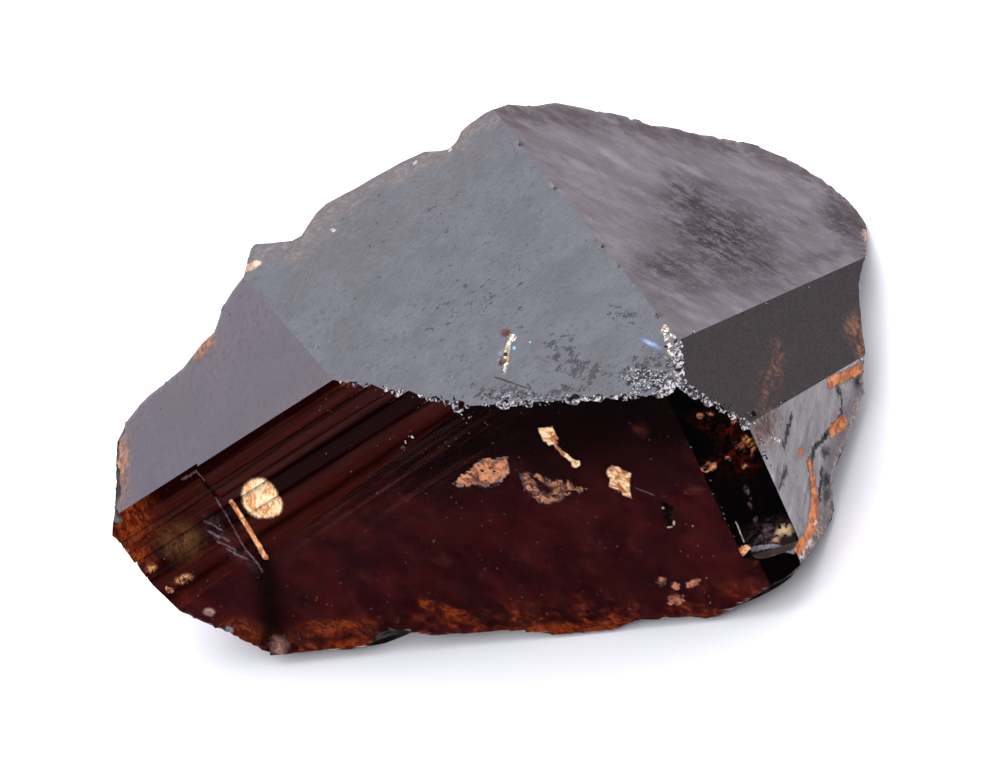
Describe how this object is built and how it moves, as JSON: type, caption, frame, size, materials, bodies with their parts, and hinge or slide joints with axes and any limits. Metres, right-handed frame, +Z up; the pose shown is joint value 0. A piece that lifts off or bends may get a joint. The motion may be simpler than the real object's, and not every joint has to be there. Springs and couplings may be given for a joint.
{
  "type": "cassiterite crystal",
  "caption": "Dark brown cassiterite crystal with flat lustrous faces, crumbled edges and a broken base that it rests on.",
  "frame": {"origin": "centre of the flat broken base that the crystal rests on", "axes": "+Z up from the broken base, +X along the crystal's length, towards its charcoal end; the black prism face looks along -Y"},
  "size_m": [0.0437, 0.0328, 0.0189],
  "materials": {
    "cassiterite": "gloss"
  },
  "bodies": {
    "root": {"cassiterite_crystal": "cassiterite"}
  },
  "joints": []
}
